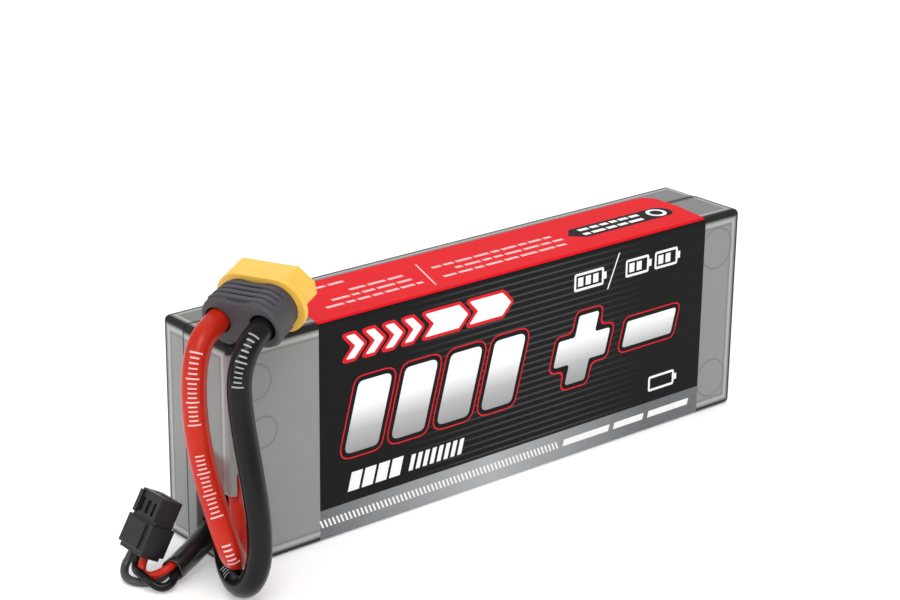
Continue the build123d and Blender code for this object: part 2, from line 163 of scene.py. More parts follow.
def math_node(tree, operation, first, second=None, third=None):
    """A Math node's output; each input is a number or another node's output."""
    node = tree.nodes.new("ShaderNodeMath")
    node.operation = operation
    for index, value in enumerate((first, second, third)):
        if value is None:
            continue
        if isinstance(value, (int, float)):
            node.inputs[index].default_value = value
        else:
            tree.links.new(value, node.inputs[index])
    return node.outputs[0]


def product(tree, first, second):
    return math_node(tree, "MULTIPLY", first, second)


def inverse(tree, value):
    """1 where the value is 0, and 0 where it is 1."""
    return math_node(tree, "SUBTRACT", 1.0, value)


def distance_to(tree, value, place):
    return math_node(tree, "ABSOLUTE", math_node(tree, "SUBTRACT", value, place))


def step(tree, value, start, end):
    """0 below start and 1 above end."""
    node = tree.nodes.new("ShaderNodeMapRange")
    node.inputs["From Min"].default_value = start
    node.inputs["From Max"].default_value = end
    tree.links.new(value, node.inputs["Value"])
    return node.outputs["Result"]


def spread(tree, value, low, high):
    """A 0 to 1 value spread over low to high."""
    node = tree.nodes.new("ShaderNodeMapRange")
    node.inputs["To Min"].default_value = low
    node.inputs["To Max"].default_value = high
    tree.links.new(value, node.inputs["Value"])
    return node.outputs["Result"]


def band(tree, value, middle, half_width):
    """1 at a value, falling to 0 at half a width to each side."""
    away = distance_to(tree, value, middle)
    return inverse(tree, step(tree, away, 0.25 * half_width, half_width))


def mix_colour(tree, share, first, second):
    """The first colour, or the second one where the share is 1."""
    node = tree.nodes.new("ShaderNodeMix")
    node.data_type = "RGBA"
    for socket, value in ((node.inputs[0], share), (node.inputs[6], first), (node.inputs[7], second)):
        if isinstance(value, bpy.types.NodeSocket):
            tree.links.new(value, socket)
        else:
            socket.default_value = (*value, 1.0)
    return node.outputs[2]


def object_place(tree, stretch=None):
    """The place on the object in metres, stretched along each axis if asked."""
    place = tree.nodes.new("ShaderNodeTexCoord").outputs["Object"]
    if stretch is None:
        return place
    node = tree.nodes.new("ShaderNodeMapping")
    node.inputs["Scale"].default_value = stretch
    tree.links.new(place, node.inputs["Vector"])
    return node.outputs["Vector"]


def x_y_z(tree, place):
    """The three coordinates of a place."""
    node = tree.nodes.new("ShaderNodeSeparateXYZ")
    tree.links.new(place, node.inputs[0])
    return tuple(node.outputs)


def noise(tree, place, scale):
    node = tree.nodes.new("ShaderNodeTexNoise")
    node.inputs["Scale"].default_value = scale
    node.inputs["Detail"].default_value = 3.0
    node.inputs["Roughness"].default_value = 0.55
    tree.links.new(place, node.inputs["Vector"])
    return node.outputs["Fac"]


def add_bump(tree, shader, height, distance):
    node = tree.nodes.new("ShaderNodeBump")
    node.inputs["Distance"].default_value = distance
    node.inputs["Strength"].default_value = 1.0
    tree.links.new(height, node.inputs["Height"])
    tree.links.new(node.outputs["Normal"], shader.inputs["Normal"])


def plain_values(shader, values):
    """Sets constant values on the shader's own sockets."""
    for socket, value in values.items():
        shader.inputs[socket].default_value = value


# ---- the case ----

def edge_distance(tree, place):
    """How far a point of the case's surface is from the nearest outer edge."""
    far_corner = Vector((case_hi.x, BACK_Y, case_hi.z))
    middle, half = (case_lo + far_corner) / 2, (far_corner - case_lo) / 2
    gaps = [math_node(tree, "SUBTRACT", half[axis], distance_to(tree, place[axis], middle[axis]))
            for axis in range(3)]
    low = math_node(tree, "MINIMUM", gaps[0], gaps[1])
    high = math_node(tree, "MAXIMUM", gaps[0], gaps[1])
    return math_node(tree, "MINIMUM", high, math_node(tree, "MAXIMUM", low, gaps[2]))


def near_face(tree, value, face):
    """1 on a face that lies at the low end of an axis, and 0 further in."""
    return inverse(tree, step(tree, value, face + FACE_FADE[0], face + FACE_FADE[1]))


def inner_marks(tree, place):
    """The rims of the round marks inside the front wall, as they show through it."""
    shown = 0.0
    for x, z, radius in EJECTOR_MARKS:
        along = math_node(tree, "SUBTRACT", place[0], NEAR_X + x)
        up = math_node(tree, "SUBTRACT", place[2], z)
        square = math_node(tree, "MULTIPLY_ADD", along, along, product(tree, up, up))
        rim = band(tree, math_node(tree, "SQRT", square), radius, MARK_LINE)
        shown = math_node(tree, "MAXIMUM", shown, rim)
    return product(tree, shown, near_face(tree, place[1], FRONT_Y))


def seam_line(tree, place):
    """The dark parting line of the two shells, which steps back beside the lead outlet."""
    past_step = step(tree, place[0], SEAM_STEP_X, SEAM_STEP_X + 0.02 * MM)
    main = product(tree, band(tree, place[1], SEAM_Y, SEAM_SHADOW), past_step)
    stepped = product(tree, band(tree, place[1], SEAM_STEP_Y, SEAM_SHADOW), inverse(tree, past_step))
    wide = product(tree, band(tree, place[1], SEAM_Y, TOP_SEAM_SHADOW), past_step)
    on_top = product(tree, wide, step(tree, place[2], *TOP_FADE))
    return math_node(tree, "MAXIMUM", math_node(tree, "ADD", main, stepped), on_top)


def off_near_corner(tree, place):
    """0 along the upright front corner of the lead end, whose edge shows pale, and 1 elsewhere; it keeps
    the painted rim shade off that corner.
    """
    from_end = step(tree, place[0], NEAR_X + CORNER_FADE[0], NEAR_X + CORNER_FADE[1])
    from_front = step(tree, place[1], FRONT_Y + CORNER_FADE[0], FRONT_Y + CORNER_FADE[1])
    near_top = step(tree, place[2], TOP_Z - CORNER_FADE[1], TOP_Z - CORNER_FADE[0])
    return math_node(tree, "MAXIMUM", math_node(tree, "MAXIMUM", from_end, from_front), near_top)


def lead_behind_wall(tree, place, middle_y):
    """Where one lead shows dimly through the end wall, above the outlet."""
    above_foot = step(tree, place[2], *HIDDEN_LEAD_FOOT)
    below_head = inverse(tree, step(tree, place[2], *HIDDEN_LEAD_HEAD))
    across = band(tree, place[1], middle_y, HIDDEN_LEAD_WIDTH)
    on_end = product(tree, across, near_face(tree, place[0], NEAR_X))
    return product(tree, on_end, product(tree, above_foot, below_head))


def smoked_plastic():
    """Grey case that lets some light through: painted shade on its rims and its top, a painted pale glow of
    light inside the rims, a dark seam, and dim shapes behind its walls.
    """
    material, tree, shader = new_material("smoked_plastic")
    surface = object_place(tree)
    place = x_y_z(tree, surface)
    cloud, grain = noise(tree, surface, CLOUD_SCALE), noise(tree, surface, GRAIN_SCALE)
    gap = edge_distance(tree, place)
    # painted shade: a dark rim along the outer edges, kept off the pale front corner
    rim = product(tree, inverse(tree, step(tree, gap, *RIM_SHADE_FADE)), off_near_corner(tree, place))
    seam = seam_line(tree, place)
    body = mix_colour(tree, cloud, (0.325, 0.328, 0.318), (0.375, 0.378, 0.368))
    layers = (
        # painted shade: the top face darker than the walls
        (step(tree, place[2], *TOP_FADE), 0.55, (0.20, 0.205, 0.20)),
        # painted shade along the rims
        (rim, 0.97, RIM_SHADE_AND_SEAM_BLACK),
        # painted light: a pale glow inside the rim
        (band(tree, gap, *WALL_GLOW), 0.55, PAINTED_GLOW_PALE),
        (band(tree, gap, *WALL_LINE), 0.4, WALL_GREY),
        (inner_marks(tree, place), 0.5, WALL_GREY),
        (lead_behind_wall(tree, place, POSITIVE_ROUTE[0][1]), 0.85, HIDDEN_RED),
        (lead_behind_wall(tree, place, NEGATIVE_ROUTE[0][1]), 0.85, HIDDEN_BLACK),
        (seam, 0.97, RIM_SHADE_AND_SEAM_BLACK),
    )
    for share, strength, tint in layers:
        body = mix_colour(tree, product(tree, share, strength), body, tint)
    clear = inverse(tree, math_node(tree, "MAXIMUM", rim, seam))
    tree.links.new(body, shader.inputs["Base Color"])
    tree.links.new(product(tree, clear, CLEARNESS), shader.inputs["Transmission Weight"])
    tree.links.new(spread(tree, cloud, 0.10, 0.18), shader.inputs["Roughness"])
    add_bump(tree, shader, grain, 0.003 * MM)
    plain_values(shader, {"IOR": 1.45, SPECULAR: 0.12})
    return material


# ---- the printed film and its shaded ink ----

def label_film():
    """Printed film: red over the top, black with faint pinstripes on the front, silver at the bottom."""
    material, tree, shader = new_material("label_film")
    x, y, z = x_y_z(tree, object_place(tree))
    fibre = noise(tree, object_place(tree, (1, 1, 4)), 500)

    over_top = math_node(tree, "ADD", math_node(tree, "SUBTRACT", z, TOP_Z - CASE_EDGE),
                         math_node(tree, "SUBTRACT", y, FRONT_Y + CASE_EDGE))
    top_mask = step(tree, over_top, -PRINT_EDGE, PRINT_EDGE)
    stripe_mask = inverse(tree, step(tree, z, STRIPE_TOP - PRINT_EDGE, STRIPE_TOP + PRINT_EDGE))

    wave = math_node(tree, "SINE", product(tree, z, math.tau / PINSTRIPE_PITCH))
    fade = inverse(tree, step(tree, distance_to(tree, x, PINSTRIPE_MIDDLE), *PINSTRIPE_FADE))
    pinstripe = product(tree, product(tree, step(tree, wave, 0.2, 0.9), fade), 0.9)
    black = mix_colour(tree, pinstripe, (0.0125, 0.0120, 0.0125), (0.062, 0.060, 0.061))

    glow = inverse(tree, step(tree, distance_to(tree, x, SILVER_GLOW_MIDDLE), 0.0, SILVER_GLOW_REACH))
    silver = mix_colour(tree, glow, (0.12, 0.124, 0.132), (0.42, 0.43, 0.44))
    silver = mix_colour(tree, product(tree, fibre, 0.2), silver, (0.55, 0.56, 0.57))

    red = mix_colour(tree, fibre, (0.70, 0.003, 0.009), (0.80, 0.006, 0.014))
    body = mix_colour(tree, stripe_mask, black, silver)
    tree.links.new(mix_colour(tree, top_mask, body, red), shader.inputs["Base Color"])
    tree.links.new(spread(tree, fibre, 0.30, 0.44), shader.inputs["Roughness"])
    add_bump(tree, shader, fibre, 0.008 * MM)
    plain_values(shader, {SPECULAR: 0.04})
    return material


def shaded_ink():
    """White ink that darkens to grey towards the foot of each large mark."""
    material, tree, shader = new_material("shaded_ink")
    surface = object_place(tree)
    fibre = noise(tree, surface, 700)
    ramp = tree.nodes.new("ShaderNodeValToRGB")
    tree.links.new(step(tree, x_y_z(tree, surface)[2], BIG_FOOT * MM, BIG_HEAD * MM), ramp.inputs[0])
    stops = ((0.0, 0.30), (0.30, 0.46), (0.62, 0.92), (1.0, 0.97))
    elements = ramp.color_ramp.elements
    for position, _ in stops[1:-1]:
        elements.new(position)
    for element, (_, value) in zip(elements, stops):
        element.color = (value, value, value, 1)
    shade = mix_colour(tree, product(tree, fibre, 0.12), ramp.outputs[0], (0.7, 0.7, 0.71))
    tree.links.new(shade, shader.inputs["Base Color"])
    tree.links.new(spread(tree, fibre, 0.35, 0.5), shader.inputs["Roughness"])
    add_bump(tree, shader, fibre, 0.004 * MM)
    plain_values(shader, {SPECULAR: 0.2})
    return material


# ---- the plain finishes ----
# Each one: its dark and light colour, the scales of its blotches and its grain, its range of
# roughness, the depth of its texture in millimetres, and constant values of the shader.
FINISHES = {
    "white_ink": ((0.88, 0.88, 0.88), (0.97, 0.97, 0.97), 400, 3000, (0.4, 0.5), 0.004, {SPECULAR: 0.2}),
    "red_ink": ((0.62, 0.012, 0.02), (0.78, 0.02, 0.03), 400, 3000, (0.4, 0.5), 0.004, {SPECULAR: 0.06}),
    "black_ink": ((0.010, 0.010, 0.011), (0.015, 0.015, 0.016), 400, 3000, (0.35, 0.5), 0.004,
                  {SPECULAR: 0.03}),
    "pale_ink": ((0.80, 0.42, 0.42), (0.88, 0.60, 0.60), 700, 3000, (0.4, 0.5), 0.004, {SPECULAR: 0.2}),
    "faint_ink": ((0.30, 0.30, 0.31), (0.42, 0.42, 0.43), 700, 3000, (0.4, 0.5), 0.004, {SPECULAR: 0.2}),
    "red_silicone": ((0.44, 0.012, 0.004), (0.56, 0.022, 0.007), 160, 1800, (0.26, 0.36), 0.012,
                     {SPECULAR: 0.25, "Subsurface Weight": 0.05, "Subsurface Scale": 0.001}),
    "black_silicone": ((0.004, 0.004, 0.0045), (0.008, 0.008, 0.009), 160, 1800, (0.15, 0.24), 0.012,
                       {SPECULAR: 0.2}),
    "grey_silicone": ((0.03, 0.03, 0.033), (0.06, 0.06, 0.064), 200, 1800, (0.26, 0.38), 0.012,
                      {SPECULAR: 0.45}),
    "yellow_nylon": ((0.90, 0.50, 0.065), (0.97, 0.60, 0.105), 120, 2200, (0.42, 0.55), 0.014,
                     {SPECULAR: 0.4, "Subsurface Weight": 0.10, "Subsurface Scale": 0.0015}),
    "grey_nylon": ((0.048, 0.044, 0.053), (0.076, 0.071, 0.082), 140, 2200, (0.45, 0.6), 0.022,
                   {SPECULAR: 0.35}),
    "heat_shrink": ((0.008, 0.008, 0.009), (0.020, 0.020, 0.021), 300, 1500, (0.16, 0.30), 0.03,
                    {SPECULAR: 0.6}),
    "black_nylon": ((0.010, 0.010, 0.011), (0.022, 0.022, 0.023), 300, 2600, (0.32, 0.48), 0.015,
                    {SPECULAR: 0.45}),
    "clip_nylon": ((0.009, 0.010, 0.012), (0.017, 0.018, 0.021), 300, 2600, (0.35, 0.5), 0.015,
                   {SPECULAR: 0.45}),
    "gold_contact": ((0.78, 0.52, 0.16), (0.90, 0.66, 0.26), 900, 4000, (0.16, 0.30), 0.004,
                     {"Metallic": 1.0}),
    "pouch_foil": ((0.55, 0.55, 0.56), (0.70, 0.70, 0.71), 90, 700, (0.28, 0.46), 0.05, {"Metallic": 0.9}),
    "tab_aluminium": ((0.66, 0.66, 0.67), (0.80, 0.80, 0.81), 400, 4000, (0.25, 0.42), 0.006,
                      {"Metallic": 1.0}),
    "tab_nickel": ((0.48, 0.46, 0.42), (0.62, 0.60, 0.55), 400, 4000, (0.25, 0.42), 0.006,
                   {"Metallic": 1.0}),
    "circuit_board": ((0.010, 0.085, 0.035), (0.020, 0.14, 0.06), 500, 2500, (0.35, 0.5), 0.01, {}),
    "foam_tape": ((0.60, 0.60, 0.57), (0.74, 0.74, 0.70), 600, 1500, (0.8, 0.95), 0.08, {}),
    "amber_tape": ((0.50, 0.22, 0.03), (0.62, 0.30, 0.05), 200, 2500, (0.25, 0.4), 0.01, {}),
    "grey_foam": ((0.42, 0.42, 0.43), (0.55, 0.55, 0.55), 700, 1600, (0.85, 0.98), 0.1, {}),
    "solder": ((0.52, 0.52, 0.53), (0.66, 0.66, 0.67), 600, 2500, (0.22, 0.40), 0.02, {"Metallic": 1.0}),
}


def plain_finish(name, dark, light, blotch, grain, rough, depth, values):
    """A material with soft colour variation, uneven gloss and a fine surface texture."""
    material, tree, shader = new_material(name)
    place = object_place(tree)
    broad, fine = noise(tree, place, blotch), noise(tree, place, grain)
    tree.links.new(mix_colour(tree, broad, dark, light), shader.inputs["Base Color"])
    mixed = math_node(tree, "MULTIPLY_ADD", fine, 0.5, product(tree, broad, 0.5))
    tree.links.new(spread(tree, mixed, *rough), shader.inputs["Roughness"])
    add_bump(tree, shader, mixed, depth * MM)
    plain_values(shader, values)
    return material


def make_materials():
    """Every material, by the name used below."""
    made = {"case": smoked_plastic(), "label": label_film(), "shaded_ink": shaded_ink()}
    for name, finish in FINISHES.items():
        made[name] = plain_finish(name, *finish)
    return made


CAD_FINISHES = {
    "front_shell": "case", "rear_shell": "case", "label": "label",
    "front_cell": "pouch_foil", "rear_cell": "pouch_foil",
    "front_cell_positive_tab": "tab_aluminium", "rear_cell_positive_tab": "tab_aluminium",
    "front_cell_negative_tab": "tab_nickel", "rear_cell_negative_tab": "tab_nickel",
    "cell_divider": "foam_tape", "cell_wraps": "amber_tape", "mounting_tape": "foam_tape",
    "tab_board": "circuit_board", "series_link": "tab_nickel",
    "lead_end_pad": "grey_foam", "far_end_pad": "grey_foam",
    "positive_solder_joint": "solder", "negative_solder_joint": "solder", "balance_solder_joints": "solder",
    "plug_cap": "grey_nylon", "plug_housing": "yellow_nylon",
    "plug_positive_contact": "gold_contact", "plug_negative_contact": "gold_contact",
    "balance_housing": "black_nylon", "balance_clip": "clip_nylon", "balance_terminals": "gold_contact",
}


def finish_cad_nodes(materials):
    """Gives every CAD node that stays visible its material."""
    for node, finish in CAD_FINISHES.items():
        piece = NODES[node]
        piece.data.materials.clear()
        piece.data.materials.append(materials[finish])


# ---- camera, light and floor ----

def make_camera():
    """The photograph's camera."""
    data = bpy.data.cameras.new("camera")
    data.lens, data.sensor_width = CAMERA_LENS, CAMERA_SENSOR
    data.clip_start, data.clip_end = 0.01, 20.0
    camera = bpy.data.objects.new("camera", data)
    view, up = Vector(CAMERA_VIEW), Vector(CAMERA_UP)
    turn = Matrix((view.cross(up), up, -view)).transposed()
    camera.matrix_world = Matrix.Translation(CAMERA_PLACE) @ turn.to_4x4()
    bpy.context.scene.collection.objects.link(camera)
    bpy.context.scene.camera = camera


def area_light(name, place, size, watts):
    data = bpy.data.lights.new(name, "AREA")
    data.shape, data.size, data.energy = "DISK", size, watts
    light = bpy.data.objects.new(name, data)
    light.location = place
    light.rotation_mode = "QUATERNION"
    light.rotation_quaternion = (LIT_POINT - Vector(place)).to_track_quat("-Z", "Y")
    bpy.context.scene.collection.objects.link(light)


def make_studio():
    """White surroundings and three soft lights."""
    world = bpy.data.worlds.new("studio")
    bpy.context.scene.world = world
    world.use_nodes = True
    backdrop = world.node_tree.nodes["Background"]
    backdrop.inputs["Color"].default_value = (1, 1, 1, 1)
    backdrop.inputs["Strength"].default_value = SKY_STRENGTH
    for name, (place, size, watts) in LIGHTS.items():
        area_light(name, place, size, watts)
    bpy.context.scene.view_settings.view_transform = "Standard"


def make_floor():
    """A white floor that glows slightly, so that it renders as pure white round the object's shadow."""
    floor_mesh = bpy.data.meshes.new("floor")
    corners = [(-FLOOR_REACH, -FLOOR_REACH, 0), (FLOOR_REACH, -FLOOR_REACH, 0),
               (FLOOR_REACH, FLOOR_REACH, 0), (-FLOOR_REACH, FLOOR_REACH, 0)]
    floor_mesh.from_pydata(corners, [], [(0, 1, 2, 3)])
    floor = bpy.data.objects.new("floor", floor_mesh)
    bpy.context.scene.collection.objects.link(floor)
    material, _, shader = new_material("pale_floor")
    plain_values(shader, {"Base Color": (0.93, 0.93, 0.93, 1), "Roughness": 0.9, SPECULAR: 0.0,
                          "Emission Color": (1, 1, 1, 1), "Emission Strength": 0.30})
    floor_mesh.materials.append(material)


# ---- meshes ----

def add_piece(name, mesh, material, smooth=False):
    """A mesh as a piece of the object, with its material."""
    piece = bpy.data.objects.new(name, mesh)
    bpy.context.scene.collection.objects.link(piece)
    mesh.materials.append(material)
    if smooth:
        for face in mesh.polygons:
            face.use_smooth = True
    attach(piece, ROOT)
    return piece


def mesh_from(name, build):
    """A mesh from a function that fills a bmesh."""
    work = bmesh.new()
    build(work)
    bmesh.ops.recalc_face_normals(work, faces=work.faces)
    mesh = bpy.data.meshes.new(name)
    work.to_mesh(mesh)
    work.free()
    return mesh


def rounded(points, radius):
    """The closed outline with each corner turned into an arc, which takes up less than half of a side."""
    steps, most = 4, 0.49
    out = []
    count = len(points)
    for index in range(count):
        before, corner, after = (Vector(points[(index + offset) % count]) for offset in (-1, 0, 1))
        inward, outward = (before - corner).normalized(), (after - corner).normalized()
        half = inward.angle(outward) / 2
        shorter = min((before - corner).length, (after - corner).length)
        reach = min(radius / math.tan(half), most * shorter)
        start, end = corner + inward * reach, corner + outward * reach
        for share in range(steps + 1):
            t = share / steps
            out.append(start * (1 - t) ** 2 + corner * 2 * t * (1 - t) + end * t * t)
    return out


def grown(points, distance):
    """The closed outline moved outwards by a distance; its points run anticlockwise."""
    least_squareness = 0.35
    out = []
    count = len(points)
    for index in range(count):
        before, corner, after = (Vector(points[(index + offset) % count]) for offset in (-1, 0, 1))
        first, second = (corner - before).normalized(), (after - corner).normalized()
        normals = (Vector((edge.y, -edge.x)) for edge in (first, second))
        joined = sum(normals, Vector((0, 0))).normalized()
        squareness = max(least_squareness, joined.dot(Vector((first.y, -first.x))))
        out.append(corner + joined * distance / squareness)
    return out


def front_place(point, lift):
    """A point of the label's front panel: millimetres from the lead end and above the standing surface."""
    return Vector((NEAR_X + point[0] * MM, FRONT_Y - lift, point[1] * MM))


def top_place(point, lift):
    """A point of the label's top panel: millimetres from the lead end and from the front face."""
    return Vector((NEAR_X + point[0] * MM, FRONT_Y + point[1] * MM, TOP_Z + lift))


def add_plate(work, outline, place, ink):
    """One thin closed printed plate."""
    low = [work.verts.new(place(point, PRINT_BASE)) for point in outline]
    high = [work.verts.new(place(point, ink)) for point in outline]
    for triangle in tessellate_polygon([[Vector((*point, 0)) for point in outline]]):
        for layer in (low, high):
            work.faces.new([layer[index] for index in triangle])
    for index in range(len(outline)):
        after = (index + 1) % len(outline)
        work.faces.new((low[index], low[after], high[after], high[index]))


def add_ring(work, outer, inner, place, ink):
    """A thin closed printed ring between two outlines of as many points."""
    loops = [[work.verts.new(place(point, lift)) for point in outline]
             for outline, lift in ((outer, PRINT_BASE), (outer, ink), (inner, ink), (inner, PRINT_BASE))]
    for first, second in zip(loops, loops[1:] + loops[:1]):
        for index in range(len(outer)):
            after = (index + 1) % len(outer)
            work.faces.new((first[index], first[after], second[after], second[index]))


def print_piece(name, outlines, place, ink, material, rings=()):
    """A printed piece of plates and rings on one face of the label."""
    def build(work):
        for outline in outlines:
            add_plate(work, outline, place, ink)
        for outer, inner in rings:
            add_ring(work, outer, inner, place, ink)
    return add_piece(name, mesh_from(name, build), material)


# ---- label graphics: generic marks in place of all lettering, in millimetres ----
LEAN = 0.26                      # italic lean of the front panel's marks
BACK_LEAN = -0.42                # lean of the silver stripe's hatching
BORDER, BORDER_LINE = 0.95, 1.25     # how far the dark border and the red line stand out from a large mark
EMBLEM_FOOT, EMBLEM_HEAD, EMBLEM_POINT, EMBLEM_LINE = 37.6, 42.6, 2.4, 0.7
# Each cell symbol: its left edge, foot, width, height and number of charge bars.
CELLS = ((88.5, 38.1, 8.6, 4.0, 3), (103.6, 38.1, 7.0, 4.0, 2), (112.4, 38.1, 7.0, 4.0, 2),
         (112.0, 9.4, 8.0, 3.6, 0))
CHARGE_START, CHARGE_PITCH, CHARGE_WIDTH, CHARGE_FOOT, CHARGE_HEAD = 1.1, 2.2, 1.5, 1.0, 3.0
# Each row of small bars: count, first edge, pitch, width, foot, head and lean.
SMALL_ROWS = ((4, 28.0, 3.5, 2.8, 9.2, 13.2, LEAN), (8, 43.6, 1.85, 1.1, 9.4, 12.8, LEAN),
              (63, 21.6, 1.02, 0.45, 3.1, 4.8, BACK_LEAN))
DASHES, DASH_FOOT, DASH_HEAD = ((86.5, 100.1), (101.6, 110.6), (112.1, 124.7)), 3.2, 4.7


def leaning(points, foot):
    """Points given upright, leant to the right above a foot height."""
    return [(x + (z - foot) * LEAN, z) for x, z in points]


def slanted(x0, x1, z0, z1, lean):
    """A leaning bar between two heights; x0 and x1 are at its foot."""
    shift = (z1 - z0) * lean
    return [(x0, z0), (x1, z0), (x1 + shift, z1), (x0 + shift, z1)]


def row_of(count, first, pitch, width, foot, head, lean):
    """Equal bars side by side."""
    return [slanted(first + pitch * index, first + pitch * index + width, foot, head, lean)
            for index in range(count)]


def polarity_marks():
    """A large plus and a large minus."""
    arm, reach, plus_x, minus_x, centre = 2.9, 7.5, 89.4, 109.6, (BIG_FOOT + BIG_HEAD) / 2
    corner = [(-arm, -reach), (arm, -reach), (arm, -arm)]
    plus = []
    for _ in range(4):
        plus += [(plus_x + x, centre + z) for x, z in corner]
        corner = [(-z, x) for x, z in corner]
    minus = [(minus_x - reach, centre - arm), (minus_x + reach, centre - arm),
             (minus_x + reach, centre + arm), (minus_x - reach, centre + arm)]
    return [leaning(plus, BIG_FOOT), leaning(minus, BIG_FOOT)]


def chevron(x, width):
    """A bar with a notched end and a pointed one."""
    middle = (EMBLEM_FOOT + EMBLEM_HEAD) / 2
    return [(x, EMBLEM_FOOT), (x + width, EMBLEM_FOOT), (x + width + EMBLEM_POINT, middle),
            (x + width, EMBLEM_HEAD), (x, EMBLEM_HEAD), (x + EMBLEM_POINT, middle)]


def emblem_marks():
    """Four chevrons and two longer ones."""
    first, pitch, width = 27.6, 4.9, 2.2
    marks = [chevron(first + pitch * index, width) for index in range(4)]
    return marks + [chevron(x, 9.0) for x in (47.6, 59.3)]


def cell_symbol(x, foot, width, height):
    """A cell's outline, the space inside it, and its terminal."""
    line, corner, overlap, terminal = 0.55, 0.6, 0.05, 0.8
    body = rounded([(x, foot), (x + width, foot), (x + width, foot + height), (x, foot + height)], corner)
    nub = slanted(x + width - overlap, x + width + terminal, foot + height * 0.3, foot + height * 0.7, 0.0)
    return body, grown(body, -line), nub


def add_large_marks(materials, name, marks, corner):
    """Shaded marks with a dark border and a thin red line round it."""
    layers = (("", 0.0, THIRD_INK, "shaded_ink"), ("_border", BORDER, SECOND_INK, "black_ink"),
              ("_line", BORDER_LINE, FIRST_INK, "red_ink"))
    for part, width, ink, finish in layers:
        outlines = [rounded(grown(mark, width), corner + width) for mark in marks]
        print_piece(name + part, outlines, front_place, ink, materials[finish])


def add_emblem(materials):
    """White chevrons with a red edge."""
    corner = 0.25
    layers = (("_line", EMBLEM_LINE, FIRST_INK, "red_ink"), ("", 0.0, SECOND_INK, "white_ink"))
    for part, width, ink, finish in layers:
        outlines = [rounded(grown(mark, width), corner + width) for mark in emblem_marks()]
        print_piece("emblem_print" + part, outlines, front_place, ink, materials[finish])


def add_small_marks(materials):
    """Three charged cells and an empty one, a slanted stroke, and rows of small bars."""
    marks, rings = [], []
    for x, foot, width, height, charge in CELLS:
        outer, inner, nub = cell_symbol(x, foot, width, height)
        rings.append((outer, inner))
        marks.append(nub)
        marks += row_of(charge, x + CHARGE_START, CHARGE_PITCH, CHARGE_WIDTH, foot + CHARGE_FOOT,
                        foot + CHARGE_HEAD, lean=0.0)
    marks.append(slanted(98.2, 98.55, 36.7, 44.3, lean=0.42))
    for row in SMALL_ROWS:
        marks += row_of(*row)
    marks += [slanted(x0, x1, DASH_FOOT, DASH_HEAD, LEAN) for x0, x1 in DASHES]
    print_piece("small_marks_print", marks, front_place, FIRST_INK, materials["white_ink"], rings)


def add_front_print(materials):
    """The front panel's marks, in place of its lettering."""
    gauge_bars = row_of(4, first=27.0, pitch=11.9, width=8.6, foot=BIG_FOOT, head=BIG_HEAD, lean=LEAN)
    add_large_marks(materials, "gauge_print", gauge_bars, corner=1.5)
    add_large_marks(materials, "polarity_print", polarity_marks(), corner=0.7)
    add_emblem(materials)
    add_small_marks(materials)


def uneven_bars(draw, x0, x1, y, height):
    """Bars of uneven length that fill a row, in place of a line of small text."""
    shortest, longest, gap, least_room = 1.8, 4.6, 0.7, 1.0
    bars, x = [], x0
    while x < x1 - least_room:
        end = min(x1, x + draw.uniform(shortest, longest))
        bars.append(slanted(x, end, y - height / 2, y + height / 2, 0.0))
        x = end + gap
    return bars


def add_top_rows(materials, draw):
    """Two blocks of rows either side of a slanted stroke, placed by their distance from the back."""
    height = 0.95
    rows = [(31.5, 40.5, 6.6), (37.5, 52.0, 11.4), (31.0, 52.0, 14.2), (27.5, 52.0, 17.0),
            (59.0, 93.0, 11.4), (63.0, 93.0, 14.2), (57.5, 93.0, 17.0)]
    bars = [bar for x0, x1, from_back in rows
            for bar in uneven_bars(draw, x0, x1, CASE_DEPTH - from_back, height)]
    near, far, stroke, shift = CASE_DEPTH - 19.8, CASE_DEPTH - 7.6, 0.4, 4.6
    bars.append(slanted(52.9, 52.9 + stroke, near, far, shift / (far - near)))
    print_piece("top_rows_print", bars, top_place, FIRST_INK, materials["pale_ink"])


def add_tag(materials, draw):
    """A dark tag with a pointed end and a round one, which holds two rows and a ring."""
    near, far = CASE_DEPTH - 16.3, CASE_DEPTH - 10.4
    middle, radius, round_x = (near + far) / 2, (far - near) / 2, 123.0
    point_x, shoulder_x, round_steps = 95.4, 98.2, 12
    tag = [(point_x, middle), (shoulder_x, near)]
    for index in range(round_steps + 1):
        angle = math.pi * index / round_steps
        tag.append((round_x + radius * math.sin(angle), middle - radius * math.cos(angle)))
    tag.append((shoulder_x, far))
    print_piece("tag_print", [tag], top_place, FIRST_INK, materials["black_ink"])

    ring_x, ring_steps = round_x - 1.0, 32
    circle = [(math.sin(math.tau * part / ring_steps), -math.cos(math.tau * part / ring_steps))
              for part in range(ring_steps)]
    outer, inner = ([(ring_x + size * x, middle + size * y) for x, y in circle] for size in (2.4, 1.5))
    off_middle, height = 1.3, 1.2
    bars = uneven_bars(draw, 99.6, 117.6, middle + off_middle, height)
    bars += uneven_bars(draw, 98.8, 117.0, middle - off_middle, height)
    print_piece("tag_marks_print", bars, top_place, SECOND_INK, materials["white_ink"], [(outer, inner)])


def add_top_print(materials):
    """The top panel's marks; their bars are drawn from one seeded series."""
    draw = random.Random(5)
    add_top_rows(materials, draw)
    add_tag(materials, draw)


# ---- cords ----
PRINTED_SIDE = Vector((-0.62, -0.70, 0.34))     # the side of the leads that carries their print
TICK_PITCH, TICK_WIDTH, TICK_LIFT = 0.85 * MM, 0.26 * MM, 0.03 * MM
TICK_ROWS, TICK_COLUMNS = 6, 5
# Stretches of ticks as distances along each lead, and half the turn that a tick takes round it.
RED_TICKS, RED_TICK_TURN = ((27.5 * MM, 32.5 * MM), (36.0 * MM, 49.0 * MM), (54.0 * MM, 68.0 * MM)), 0.36
BLACK_TICKS, BLACK_TICK_TURN = ((76.0 * MM, 86.0 * MM), (27.0 * MM, 31.0 * MM)), 0.32


